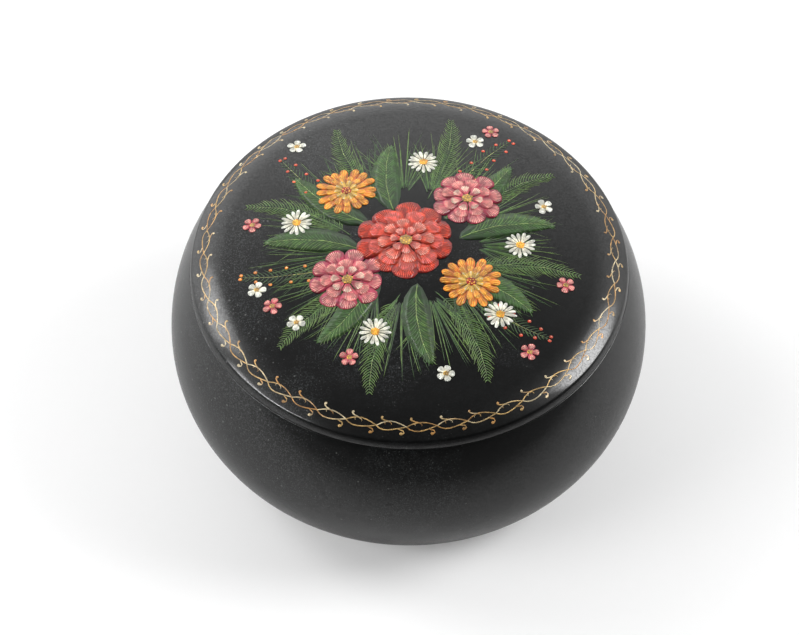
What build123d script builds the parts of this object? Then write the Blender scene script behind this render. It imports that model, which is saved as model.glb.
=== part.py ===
from build123d import *
from math import asin, cos, degrees, radians, sin, sqrt
import os

# Round lacquered papier-mache box: a bulged body and a low domed lid that lifts straight off.
# Millimetres, Z up, the origin in the middle of the flat underside.

# Body wall, turned to a wide arc above the belly and a tighter one below it
belly_radius = 60.0
belly_height = 28.5
upper_arc_radius = 49.0
lower_arc_radius = 35.5
rim_height = 51.5
wall = 4.0
rim_rounding = 0.3
foot_rounding = 1.2

# Base plate, a pressed disc let into the foot from below, up against a lip
foot_width = 4.4
plate_thickness = 3.0
lip_width = 1.4
lip_thickness = 1.2
lip_rounding = 0.5
floor_cove = 3.0

# Neck ring, glued into the mouth on a ledge and reaching up to just under the dome plate
neck_wall = 2.4
neck_seat = 7.0
neck_headroom = 0.5
neck_rounding = 0.6
ledge_thickness = 1.2
ledge_cove = 5.0

# Lid ring, a wound ring under the dome plate, turned flush with its edge
lid_inset = 0.1
ring_width = 6.0
ring_edge_rounding = 0.3
ring_lead_in = 0.5

# Dome plate, a pressed plate of even thickness: flat crown, steeper shoulder, rounded edge.
# Its edge and the ring's are turned together to a side that bellies slightly.
shoulder_width = 8.3
crown_end_slope = 9.0
shoulder_end_slope = 36.0
edge_end_slope = 68.0
edge_radius = 1.6
side_radius = 4.5
dome_wall = 1.8

# Fits
glue_line = 0.05
neck_clearance = 0.3


def body_radius(arc_radius, depth, height):
    """Radius of the body at a height, on an arc that lies at a depth below the outer face."""
    arc_height = height - belly_height
    return belly_radius - arc_radius + sqrt((arc_radius - depth) ** 2 - arc_height**2)


def body_arc(arc_radius, depth, height):
    """Arc of the body's profile, drawn from the belly to a height, at a depth below the outer face."""
    centre = (belly_radius - arc_radius, belly_height)
    turn = degrees(asin((height - belly_height) / (arc_radius - depth)))
    return CenterArc(centre, arc_radius - depth, 0, turn)


def facing(slope):
    """Direction in which a face looks that falls away outwards at a slope."""
    return Vector(sin(radians(slope)), cos(radians(slope)))


# Sizes that follow from the ones above
rim_radius = body_radius(upper_arc_radius, 0, rim_height)
foot_radius = body_radius(lower_arc_radius, 0, 0)
plate_bore_radius = foot_radius - foot_width
lip_radius = plate_bore_radius - lip_width
floor_height = plate_thickness + lip_thickness
floor_radius = body_radius(lower_arc_radius, wall, floor_height)

lid_radius = rim_radius - lid_inset
ring_bore_radius = lid_radius - ring_width
neck_radius = ring_bore_radius - neck_clearance
neck_bore_radius = neck_radius - neck_wall
neck_foot_height = rim_height - neck_seat
ledge_underside = neck_foot_height - ledge_thickness
ledge_root_radius = body_radius(upper_arc_radius, wall, ledge_underside)

# The lid's outer face is a chain of arcs that share tangents, from the side up to the crown
side_centre = Vector(lid_radius - side_radius, rim_height + ring_edge_rounding)
edge_centre = side_centre + facing(edge_end_slope) * (side_radius - edge_radius)
shoulder_radius = shoulder_width / (facing(shoulder_end_slope).X - facing(crown_end_slope).X)
shoulder_centre = edge_centre - facing(shoulder_end_slope) * (shoulder_radius - edge_radius)
crown_radius = shoulder_radius + shoulder_centre.X / facing(crown_end_slope).X
crown_centre_height = shoulder_centre.Y - facing(crown_end_slope).Y * (crown_radius - shoulder_radius)
dome_top = crown_centre_height + crown_radius

# The dome plate's underside, where the ring is seated and the neck comes up to it
under_shoulder_radius = shoulder_radius - dome_wall
plate_foot_height = shoulder_centre.Y + facing(shoulder_end_slope).Y * under_shoulder_radius
neck_reach = neck_radius - shoulder_centre.X
neck_top = shoulder_centre.Y + sqrt(under_shoulder_radius**2 - neck_reach**2) - neck_headroom


def dome_curve(depth):
    """Crown and shoulder arcs, drawn outwards from the axis, at a depth below the dome's outer face."""
    crown = JernArc((0, dome_top - depth), (1, 0), crown_radius - depth, -crown_end_slope)
    return JernArc(crown @ 1, crown % 1, shoulder_radius - depth, crown_end_slope - shoulder_end_slope)


def side_arc(low, high):
    """Arc of the lid's side between two heights, drawn upwards."""
    low_turn, high_turn = (degrees(asin((height - side_centre.Y) / side_radius)) for height in (low, high))
    return CenterArc(side_centre, side_radius, low_turn, high_turn - low_turn)


def corner(sketch, radius, height):
    """The corner of a turned profile nearest to a radius and a height."""
    return sketch.vertices().sort_by_distance(Vector(radius, height))[0]


# Body wall
with BuildPart() as body_wall:
    with BuildSketch(Plane.XZ) as wall_profile:
        with BuildLine():
            lower_outside = body_arc(lower_arc_radius, 0, 0)
            upper_outside = body_arc(upper_arc_radius, 0, rim_height)
            lower_inside = body_arc(lower_arc_radius, wall, floor_height)
            upper_inside = body_arc(upper_arc_radius, wall, ledge_underside)
            mouth = Polyline(
                upper_outside @ 1,
                (neck_radius + glue_line, rim_height),
                (neck_radius + glue_line, neck_foot_height),
                (neck_bore_radius, neck_foot_height),
                (neck_bore_radius, ledge_underside),
                upper_inside @ 1,
            )
            plate_seat = Polyline(
                lower_inside @ 1,
                (lip_radius, floor_height),
                (lip_radius, plate_thickness),
                (plate_bore_radius, plate_thickness),
                (plate_bore_radius, 0),
                lower_outside @ 1,
            )
        make_face()
        fillet(corner(wall_profile, foot_radius, 0), foot_rounding)
        fillet(corner(wall_profile, rim_radius, rim_height), rim_rounding)
        fillet(corner(wall_profile, lip_radius, floor_height), lip_rounding)
        fillet(corner(wall_profile, floor_radius, floor_height), floor_cove)
        fillet(corner(wall_profile, ledge_root_radius, ledge_underside), ledge_cove)
    revolve(axis=Axis.Z)

# Base plate
with BuildPart() as base_plate:
    Cylinder(
        plate_bore_radius - glue_line,
        plate_thickness,
        align=(Align.CENTER, Align.CENTER, Align.MIN),
    )

# Neck ring
with BuildPart() as neck_ring:
    with BuildSketch(Plane.XY.offset(neck_foot_height)):
        Circle(neck_radius)
        Circle(neck_bore_radius, mode=Mode.SUBTRACT)
    extrude(amount=neck_top - neck_foot_height)
    fillet(neck_ring.faces().sort_by(Axis.Z)[-1].edges(), neck_rounding)

# Lid ring, its upper face turned to the dome plate's underside
with BuildPart() as lid_ring:
    with BuildSketch(Plane.XZ) as ring_profile:
        with BuildLine():
            seat = dome_curve(dome_wall + glue_line)
            side = side_arc(side_centre.Y, (seat @ 1).Y)
            Line(seat @ 1, side @ 1)
            foot = JernArc(side @ 0, (0, -1), ring_edge_rounding, -90)
            Polyline(foot @ 1, (0, rim_height), (0, dome_top - dome_wall - glue_line))
        make_face()
        Rectangle(
            ring_bore_radius,
            dome_top,
            align=(Align.MIN, Align.MIN),
            mode=Mode.SUBTRACT,
        )
        chamfer(corner(ring_profile, ring_bore_radius, rim_height), ring_lead_in)
    revolve(axis=Axis.Z)

# Dome plate
with BuildPart() as lid_dome:
    with BuildSketch(Plane.XZ) as dome_profile:
        with BuildLine():
            outside = dome_curve(0)
            edge = JernArc(outside @ 1, outside % 1, edge_radius, shoulder_end_slope - edge_end_slope)
            underside = dome_curve(dome_wall)
            side = side_arc(plate_foot_height, (edge @ 1).Y)
            Line((0, dome_top - dome_wall), (0, dome_top))
            Line(underside @ 1, side @ 0)
        make_face()
    revolve(axis=Axis.Z)

os.makedirs("parts", exist_ok=True)
pieces = {
    "body_wall": body_wall,
    "base_plate": base_plate,
    "neck_ring": neck_ring,
    "lid_ring": lid_ring,
    "lid_dome": lid_dome,
}
for name, piece in pieces.items():
    piece.part.label = name
    export_step(piece.part, f"parts/{name}.step")
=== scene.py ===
"""Round lacquered papier-mache box: turned shells, a gold scroll border and a painted bouquet.

Everything is in metres, with Z up and the origin in the middle of the box's flat underside. Only
the painting on the lid is drawn in millimetres of the lid's plan, and laid on the dome from there.
"""

import logging
import math
import random
from collections.abc import Callable, Iterator, Sequence
from dataclasses import dataclass, field
from enum import Enum
from functools import cached_property

import bmesh
import bpy
from mathutils import Matrix, Vector, noise


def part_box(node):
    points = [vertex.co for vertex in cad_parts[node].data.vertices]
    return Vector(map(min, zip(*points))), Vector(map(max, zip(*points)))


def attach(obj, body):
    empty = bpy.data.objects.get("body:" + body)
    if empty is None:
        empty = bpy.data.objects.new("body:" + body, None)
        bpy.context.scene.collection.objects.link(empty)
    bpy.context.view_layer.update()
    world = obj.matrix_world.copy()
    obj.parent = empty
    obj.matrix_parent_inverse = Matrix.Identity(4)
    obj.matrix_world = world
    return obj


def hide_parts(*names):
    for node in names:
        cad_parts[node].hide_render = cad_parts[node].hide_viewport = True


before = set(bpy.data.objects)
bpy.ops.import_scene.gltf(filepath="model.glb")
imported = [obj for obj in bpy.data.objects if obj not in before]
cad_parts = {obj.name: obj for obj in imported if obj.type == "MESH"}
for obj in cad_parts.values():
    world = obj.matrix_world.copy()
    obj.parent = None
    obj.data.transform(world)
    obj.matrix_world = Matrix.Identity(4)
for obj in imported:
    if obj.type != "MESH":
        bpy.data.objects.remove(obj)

LOG = logging.getLogger("lacquer_box")
MM = 0.001
QUARTER = math.pi / 2
STAMP_WELD = 1e-5

RGB = tuple[float, float, float]
Plan = tuple[float, float]
Span = tuple[float, float]
Values = dict[str | int, object]


class Side(Enum):
    """Which finish a face of a turned shell carries: the slot's number on the mesh."""

    OUTSIDE = 0
    INSIDE = 1


def level_corner(centre: Plan, radius: float, height: float, rounding: float) -> tuple[Plan, float]:
    """Finds the round that joins a turned arc to a level face.

    Args:
        centre: Radius and height of the arc's centre.
        radius: The arc's own radius.
        height: Height of the rounding's centre.
        rounding: The rounding's radius.

    Returns:
        The rounding's centre, and the angle at which it leaves the arc.
    """
    rise = height - centre[1]
    run = math.sqrt((radius - rounding) ** 2 - rise**2)
    return (centre[0] + run, height), math.atan2(rise, run)


def facing(slope: float) -> Vector:
    """Gives the way, outwards and up, that a turned face looks which falls away at a slope."""
    return Vector((math.sin(slope), math.cos(slope)))


@dataclass(frozen=True)
class BoxShape:
    """The turned sizes of the box: those that the frame gives are read from it."""

    upper_arc: float = 49 * MM
    lower_arc: float = 35.5 * MM
    belly_height: float = 28.5 * MM
    wall: float = 4 * MM
    rim_rounding: float = 0.3 * MM
    foot_rounding: float = 1.2 * MM
    lip_width: float = 1.4 * MM
    lip_thickness: float = 1.2 * MM
    lip_rounding: float = 0.5 * MM
    floor_cove: float = 3 * MM
    neck_wall: float = 2.4 * MM
    neck_rounding: float = 0.6 * MM
    ledge_thickness: float = 1.2 * MM
    ledge_cove: float = 5 * MM
    glue_line: float = 0.05 * MM
    ring_width: float = 6 * MM
    ring_edge_rounding: float = 0.3 * MM
    ring_lead_in: float = 0.5 * MM
    shoulder_width: float = 8.3 * MM
    crown_end: float = math.radians(9)
    shoulder_end: float = math.radians(36)
    edge_end: float = math.radians(68)
    edge_radius: float = 1.6 * MM
    side_radius: float = 4.5 * MM
    dome_wall: float = 1.8 * MM
    belly: float = field(default_factory=lambda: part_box("body_wall")[1].x)
    rim_height: float = field(default_factory=lambda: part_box("body_wall")[1].z)
    plate_radius: float = field(default_factory=lambda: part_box("base_plate")[1].x)
    plate_thickness: float = field(default_factory=lambda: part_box("base_plate")[1].z)
    neck_radius: float = field(default_factory=lambda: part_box("neck_ring")[1].x)
    neck_foot: float = field(default_factory=lambda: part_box("neck_ring")[0].z)
    neck_top: float = field(default_factory=lambda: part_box("neck_ring")[1].z)
    lid_radius: float = field(default_factory=lambda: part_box("lid_ring")[1].x)
    ring_foot: float = field(default_factory=lambda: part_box("lid_ring")[0].z)
    plate_foot: float = field(default_factory=lambda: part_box("lid_dome")[0].z)

    @cached_property
    def side_centre(self) -> Vector:
        """Centre of the arc that the lid's side bellies on."""
        height = self.ring_foot + self.ring_edge_rounding
        return Vector((self.lid_radius - self.side_radius, height))

    @cached_property
    def edge_centre(self) -> Vector:
        """Centre of the dome plate's edge arc."""
        return self.side_centre + facing(self.edge_end) * (self.side_radius - self.edge_radius)

    @cached_property
    def shoulder_radius(self) -> float:
        """Radius of the dome's steeper shoulder arc."""
        return self.shoulder_width / (facing(self.shoulder_end).x - facing(self.crown_end).x)

    @cached_property
    def shoulder_centre(self) -> Vector:
        """Centre of the shoulder arc, which shares a tangent with the edge."""
        apart = self.shoulder_radius - self.edge_radius
        return self.edge_centre - facing(self.shoulder_end) * apart

    @cached_property
    def crown_radius(self) -> float:
        """Radius of the dome's flat crown arc."""
        return self.shoulder_radius + self.shoulder_centre.x / facing(self.crown_end).x

    @cached_property
    def crown_centre(self) -> Vector:
        """Centre of the crown arc, on the axis."""
        drop = facing(self.crown_end).y * (self.crown_radius - self.shoulder_radius)
        return Vector((0, self.shoulder_centre.y - drop))

    def on_lid(self, x: float, y: float, lift: float) -> Vector:
        """Puts a point of the lid's plan on the dome.

        Args:
            x: Its place across.
            y: Its place to the back.
            lift: How far it stands off the dome, square to the face.

        Returns:
            The point in space.
        """
        radius = math.hypot(x, y)
        crown = radius <= self.crown_radius * facing(self.crown_end).x
        centre = self.crown_centre if crown else self.shoulder_centre
        arc = self.crown_radius if crown else self.shoulder_radius
        slope = math.asin(min((radius - centre.x) / arc, 1.0))
        out = Vector((x, y, 0)).normalized() * math.sin(slope) + Vector((0, 0, math.cos(slope)))
        return Vector((x, y, centre.y + arc * math.cos(slope))) + lift * out


class TurnedProfile:
    """A half outline in the XZ plane, drawn from point to point and then turned about Z."""

    arc_step = math.radians(2.5)
    least_steps = 7
    steps_round = 256
    crease = math.radians(28)
    least_run = 0.001 * MM
    weld = 0.0001 * MM

    def __init__(self) -> None:
        """Starts an empty outline."""
        self.bm = bmesh.new()
        self.first: bmesh.types.BMVert | None = None
        self.tip: bmesh.types.BMVert | None = None

    def to(self, radius: float, height: float) -> "TurnedProfile":
        """Draws a straight stretch, or sets the first point.

        Args:
            radius: Distance from the axis to draw to.
            height: Height to draw to.

        Returns:
            The outline, to draw on from.
        """
        target = Vector((radius, 0, height))
        if self.tip is None:
            self.first = self.tip = bmesh.ops.create_vert(self.bm, co=target)["vert"][0]
        elif (target - self.tip.co).length > self.least_run:
            self.tip = bmesh.ops.extrude_vert_indiv(self.bm, verts=[self.tip])["verts"][0]
            bmesh.ops.translate(self.bm, verts=[self.tip], vec=target - self.tip.co)
        return self

    def arc(
        self, centre: Sequence[float], radius: float, start: float, end: float
    ) -> "TurnedProfile":
        """Draws a straight stretch to an arc's start, and then the arc.

        Args:
            centre: Radius and height of the arc's centre.
            radius: The arc's radius.
            start: Angle where it starts, up from outwards.
            end: Angle where it ends.

        Returns:
            The outline, to draw on from.
        """
        self.to(centre[0] + radius * math.cos(start), centre[1] + radius * math.sin(start))
        spun = bmesh.ops.spin(
            self.bm,
            geom=[self.tip],
            cent=(centre[0], 0, centre[1]),
            axis=(0, -1, 0),
            angle=end - start,
            steps=max(math.ceil(abs(end - start) / self.arc_step), self.least_steps),
        )
        self.tip = next(v for v in spun["geom_last"] if isinstance(v, bmesh.types.BMVert))
        return self

    def close(self) -> "TurnedProfile":
        """Joins the last point to the first, for a ring that has a bore."""
        bmesh.ops.contextual_create(self.bm, geom=[self.tip, self.first])
        return self

    def turn(self, name: str, inside: Callable[[Vector, Vector], bool]) -> bpy.types.Object:
        """Turns the outline into a closed shell.

        Args:
            name: The piece's name.
            inside: Says from a face's middle and normal whether it carries the inside finish.

        Returns:
            The piece, linked to the scene.
        """
        full_turn(self.bm, (0, 0, 1), self.steps_round, self.weld)
        for face in self.bm.faces:
            face.smooth = True
            face.material_index = Side(inside(face.calc_center_median(), face.normal)).value
        for edge in self.bm.edges:
            edge.smooth = edge.calc_face_angle(0.0) < self.crease
        return make_piece(name, self.bm)


def full_turn(bm: bmesh.types.BMesh, axis: RGB, steps: int, weld: float) -> None:
    """Spins an outline all the way round, welds its poles and seam and faces it outwards.

    Args:
        bm: The outline, which becomes the shell.
        axis: What it is turned about, through the origin.
        steps: Faces round it.
        weld: Distance within which points are made one.
    """
    geometry = bm.verts[:] + bm.edges[:]
    centre = (0, 0, 0)
    bmesh.ops.spin(
        bm, geom=geometry, cent=centre, axis=axis, angle=math.tau, steps=steps, use_merge=True
    )
    bmesh.ops.remove_doubles(bm, verts=bm.verts[:], dist=weld)
    bmesh.ops.recalc_face_normals(bm, faces=bm.faces[:])


def make_piece(name: str, bm: bmesh.types.BMesh) -> bpy.types.Object:
    """Turns a finished bmesh into an object at the origin.

    Args:
        name: The piece's name.
        bm: Its mesh, which is freed.

    Returns:
        The piece, linked to the scene.
    """
    mesh = bpy.data.meshes.new(name)
    bm.to_mesh(mesh)
    bm.free()
    piece = bpy.data.objects.new(name, mesh)
    bpy.context.scene.collection.objects.link(piece)
    return piece


class Wire:
    """A node's output that takes plain arithmetic: each sign adds a Math node to the sheet."""

    def __init__(self, sheet: "NodeSheet", socket: bpy.types.NodeSocket) -> None:
        """Takes the sheet and the socket on it."""
        self.sheet = sheet
        self.socket = socket

    def __add__(self, other: "Wire | float") -> "Wire":
        """Adds a wire or a number."""
        return self.sheet.maths("ADD", self, other)

    def __sub__(self, other: "Wire | float") -> "Wire":
        """Takes a wire or a number away."""
        return self.sheet.maths("SUBTRACT", self, other)

    def __rsub__(self, other: float) -> "Wire":
        """Takes this wire away from a number."""
        return self.sheet.maths("SUBTRACT", other, self)

    def __mul__(self, other: "Wire | float") -> "Wire":
        """Multiplies by a wire or a number."""
        return self.sheet.maths("MULTIPLY", self, other)

    def __truediv__(self, other: "Wire | float") -> "Wire":
        """Divides by a wire or a number."""
        return self.sheet.maths("DIVIDE", self, other)

    def clamped(self) -> "Wire":
        """Keeps the value between 0 and 1."""
        return self.sheet.maths("ADD", self, 0.0, clamp=True)

    def ramp(self, low: "Wire | float", high: "Wire | float", out: Span = (0.0, 1.0)) -> "Wire":
        """Maps the value smoothly.

        Args:
            low: The value that gives the start of the out range.
            high: The value that gives its end.
            out: The range that is given.

        Returns:
            The mapped value.
        """
        ends = {"From Min": low, "From Max": high, "To Min": out[0], "To Max": out[1]}
        values = {"Value": self, **ends}
        return self.sheet.read("MapRange", 0, values, interpolation_type="SMOOTHSTEP")


class NodeSheet:
    """A node tree that is being filled: adds nodes with their values, and joins their sockets."""

    def __init__(self, tree: bpy.types.NodeTree) -> None:
        """Takes the tree and clears it."""
        self.tree = tree
        tree.nodes.clear()

    def add(self, kind: str, values: Values | None = None, **settings: object) -> bpy.types.Node:
        """Adds a node.

        Args:
            kind: The node's type, without its ShaderNode prefix.
            values: Socket values by name or number; a wire as a value is joined.
            settings: The node's own settings.

        Returns:
            The new node.
        """
        node = self.tree.nodes.new(kind if kind.startswith("NodeGroup") else f"ShaderNode{kind}")
        for key, value in settings.items():
            setattr(node, key, value)
        for key, value in (values or {}).items():
            if isinstance(value, Wire):
                self.tree.links.new(value.socket, node.inputs[key])
            else:
                node.inputs[key].default_value = value
        return node

    def read(
        self, kind: str, output: str | int, values: Values | None = None, **settings: object
    ) -> Wire:
        """Adds a node and gives one of its outputs."""
        return Wire(self, self.add(kind, values, **settings).outputs[output])

    def outputs(
        self, kind: str, values: Values | None = None, **settings: object
    ) -> dict[str, Wire]:
        """Adds a node and gives its outputs by name."""
        node = self.add(kind, values, **settings)
        return {socket.name: Wire(self, socket) for socket in node.outputs}

    def group(self, group: bpy.types.NodeTree, values: Values) -> dict[str, Wire]:
        """Places a shader node group with its own values, and gives its outputs by name."""
        return self.outputs("Group", values, node_tree=group)

    def maths(self, operation: str, *values: Wire | float, clamp: bool = False) -> Wire:
        """Adds a Math node on numbers or wires and gives its result."""
        settings = {"operation": operation, "use_clamp": clamp}
        return self.read("Math", 0, dict(enumerate(values)), **settings)

    def mix(self, factor: Wire, first: Wire | RGB, second: Wire | RGB) -> Wire:
        """Mixes two colours, given as RGB or as wires."""
        first, second = (c if isinstance(c, Wire) else (*c, 1.0) for c in (first, second))
        return self.read("Mix", 2, {0: factor, 6: first, 7: second}, data_type="RGBA")

    def noise(self, at: Wire, scale: Wire | float, detail: float, roughness: float = 0.5) -> Wire:
        """Adds a noise, around 0.5."""
        values = {"Vector": at, "Scale": scale, "Detail": detail, "Roughness": roughness}
        return self.read("TexNoise", 0, values)

    def bump(
        self, height: Wire, depth: float, under: Wire | None = None, strength: float = 1.0
    ) -> Wire:
        """Raises a height on the face, or on the bumps under it.

        Args:
            height: The height, 0 to 1.
            depth: How high 1 stands.
            under: The normal of the bumps that lie under it.
            strength: How much of it shows.

        Returns:
            The normal.
        """
        values = {"Height": height, "Distance": depth, "Strength": strength}
        if under:
            values["Normal"] = under
        return self.read("Bump", 0, values)

    def object_coordinates(self) -> Wire:
        """Gives the Object coordinates, in metres."""
        return self.read("TexCoord", "Object")

    def vector_maths(self, operation: str, *vectors: Wire | RGB) -> Wire:
        """Adds a Vector Math node that gives a number, such as a length."""
        return self.read("VectorMath", "Value", dict(enumerate(vectors)), operation=operation)

    def from_axis(self, at: Wire) -> tuple[Wire, dict[str, Wire]]:
        """Takes a place apart.

        Args:
            at: The place.

        Returns:
            Its distance from the Z axis, and its X, Y and Z.
        """
        parts = self.outputs("SeparateXYZ", {0: at})
        flat = self.read("CombineXYZ", 0, {0: parts["X"], 1: parts["Y"]})
        return self.vector_maths("LENGTH", flat), parts

    def give(self, results: dict[str, Wire]) -> bpy.types.NodeTree:
        """Ends a group with its outputs.

        Args:
            results: The outputs by name, all plain values.

        Returns:
            The group.
        """
        for key in results:
            self.tree.interface.new_socket(key, in_out="OUTPUT", socket_type="NodeSocketFloat")
        self.add("NodeGroupOutput", results)
        return self.tree


def new_group(name: str, inputs: dict[str, float | None]) -> tuple[NodeSheet, dict[str, Wire]]:
    """Starts a shader node group.

    Args:
        name: The group's name.
        inputs: Its inputs with their usual values, None for a vector.

    Returns:
        The group's sheet and its inputs by name.
    """
    tree = bpy.data.node_groups.new(name, "ShaderNodeTree")
    for key, usual in inputs.items():
        kind = "NodeSocketVector" if usual is None else "NodeSocketFloat"
        socket = tree.interface.new_socket(key, in_out="INPUT", socket_type=kind)
        if usual is not None:
            socket.default_value = usual
    sheet = NodeSheet(tree)
    return sheet, sheet.outputs("NodeGroupInput")


def new_material(name: str) -> tuple[bpy.types.Material, NodeSheet]:
    """Starts a node material.

    Args:
        name: The material's name.

    Returns:
        The material and its sheet.
    """
    material = bpy.data.materials.new(name)
    material.use_nodes = True
    return material, NodeSheet(material.node_tree)


class Effects:
    """The surface effects that several finishes share, each a node group built once."""

    # Dots in the varnish: cells for each of the group's own, and the share of them that show
    nib_cells = (1.0, 1.0)
    mote_cells = (0.42, 0.10)
    least_dot, dot_spread, dot_core = 0.12, 0.26, 0.5
    # Patches of dust haze, which also carry the black lacquer's painted sheen
    haze_and_sheen_patches = (0.45, 0.68)
    mottle_scale, speckle_scale = 7.0, 28.0
    broken_wear, shown_wear = (0.4, 0.65), (0.3, 0.85)
    ring_drift = 0.0012
    grain_scale = 5.0

    def __init__(self) -> None:
        """Builds the groups."""
        self.dust = self._dust()
        self.polish = self._polish()
        self.rub = self._rub()
        self.turning = self._turning()
        self.bristle = self._bristle()

    def _dust(self) -> bpy.types.NodeTree:
        """Builds nibs and a few motes in the varnish, thickest in patches and towards one side.

        Returns:
            A group with Nibs, 1 on a fine dot, Motes, 1 on a larger one, and Haze And Sheen, 1 in a
            patch of dust haze and painted sheen.
        """
        usual = {"Cells": 2300.0, "Share": 0.5, "Patch Size": 38.0}
        sheet, given = new_group("dust_in_varnish", {"Vector": None, "Towards": None, **usual})
        at = given["Vector"]
        patches = sheet.noise(at, given["Patch Size"], 4.0)
        side = sheet.vector_maths("DOT_PRODUCT", at, given["Towards"])
        haze_and_sheen = (patches + side).ramp(*self.haze_and_sheen_patches)
        dots = {"Haze And Sheen": haze_and_sheen}
        for name, (size, share) in {"Nibs": self.nib_cells, "Motes": self.mote_cells}.items():
            cells = sheet.outputs("TexVoronoi", {"Vector": at, "Scale": given["Cells"] * size})
            chance = sheet.outputs("SeparateColor", {0: cells["Color"]})
            reach = chance["Green"] * self.dot_spread + self.least_dot
            wanted = given["Share"] * share * haze_and_sheen
            shown = sheet.maths("LESS_THAN", chance["Red"], wanted)
            dots[name] = cells["Distance"].ramp(reach, reach * self.dot_core) * shown
        return sheet.give(dots)

    def _polish(self) -> bpy.types.NodeTree:
        """Builds the slow waves and fine mottling left by rubbing the lacquer down by hand.

        Returns:
            A group with Waves, Mottle and the finest Speckle, all around 0.5.
        """
        sheet, given = new_group("hand_polish", {"Vector": None, "Wave Size": 90.0})
        at, scale = given["Vector"], given["Wave Size"]
        waves = sheet.noise(at, scale, 1.5)
        mottle = sheet.noise(at, scale * self.mottle_scale, 5.0, 0.65)
        speckle = sheet.noise(at, scale * self.speckle_scale, 2.0, 0.6)
        return sheet.give({"Waves": waves, "Mottle": mottle, "Speckle": speckle})

    def _rub(self) -> bpy.types.NodeTree:
        """Builds the wear along a turned edge, broken up by noise.

        Returns:
            A group with Wear, 1 where the finish is rubbed through.
        """
        usual = {"Edge Radius": 0.05, "Edge Height": 0.0, "Reach": 0.002, "Grain": 500.0}
        sheet, given = new_group("rubbed_edge", {"Vector": None, **usual})
        radius, parts = sheet.from_axis(given["Vector"])
        off, up = radius - given["Edge Radius"], parts["Z"] - given["Edge Height"]
        apart = sheet.maths("SQRT", off * off + up * up)
        near = (1.0 - apart / given["Reach"]).clamped()
        grain = sheet.noise(given["Vector"], given["Grain"], 4.0)
        wear = near * grain.ramp(*self.broken_wear)
        return sheet.give({"Wear": wear.ramp(*self.shown_wear)})

    def _turning(self) -> bpy.types.NodeTree:
        """Builds the faint rings that a brush leaves on a piece turned under it.

        Returns:
            A group with Rings, around 0.5.
        """
        sheet, given = new_group("turned_brush_rings", {"Vector": None, "Fineness": 900.0})
        radius, parts = sheet.from_axis(given["Vector"])
        around = sheet.maths("ARCTAN2", parts["Y"], parts["X"])
        slow = sheet.maths("SINE", around) * self.ring_drift
        place = sheet.read("CombineXYZ", 0, {0: radius, 1: parts["Z"], 2: slow})
        return sheet.give({"Rings": sheet.noise(place, given["Fineness"], 3.0)})

    def _bristle(self) -> bpy.types.NodeTree:
        """Builds the uneven load of a fine brush: thin and thick places in a stroke.

        Returns:
            A group with Load and the finer Grain, both around 0.5.
        """
        sheet, given = new_group("brush_load", {"Vector": None, "Fineness": 700.0})
        at, scale = given["Vector"], given["Fineness"]
        load = sheet.noise(at, scale, 2.0)
        grain = sheet.noise(at, scale * self.grain_scale, 2.0)
        return sheet.give({"Load": load, "Grain": grain})


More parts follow.
